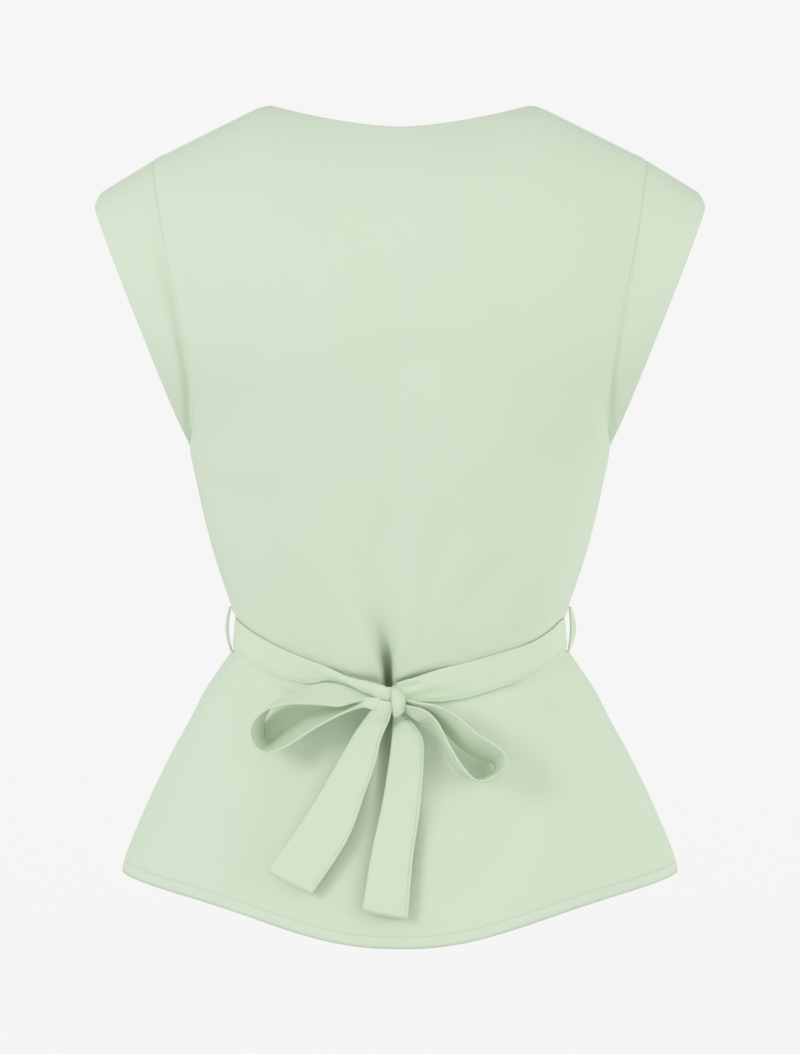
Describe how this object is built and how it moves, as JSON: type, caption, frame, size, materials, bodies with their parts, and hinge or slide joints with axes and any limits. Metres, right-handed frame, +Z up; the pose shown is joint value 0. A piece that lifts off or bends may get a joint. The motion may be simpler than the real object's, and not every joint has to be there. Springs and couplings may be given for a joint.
{
  "type": "sleeveless top",
  "caption": "Sleeveless crepe top with short shaped caps, V front and a tie belt bowed at the back, in its worn hollow form",
  "frame": {"origin": "midway between the two neck points, at shoulder height, where the wearer's shoulders carry the garment", "axes": "+Z up the body, +X to the wearer's right, -Y the garment's back, which carries the bow"},
  "size_m": [0.4232, 0.2673, 0.5741],
  "materials": {
    "crepe": "matte fine crepe, pale mint",
    "tie_crepe": "matte fine crepe in two layers, pale mint"
  },
  "bodies": {
    "root": {"back_panel": "crepe", "front_panel": "crepe", "cap_left": "crepe", "cap_right": "crepe", "belt_loop_left": "crepe", "belt_loop_right": "crepe", "belt_band": "tie_crepe", "bow_knot": "tie_crepe", "bow_loop_left": "tie_crepe", "bow_loop_right": "tie_crepe", "bow_tail_left": "tie_crepe", "bow_tail_right": "tie_crepe"}
  },
  "joints": []
}
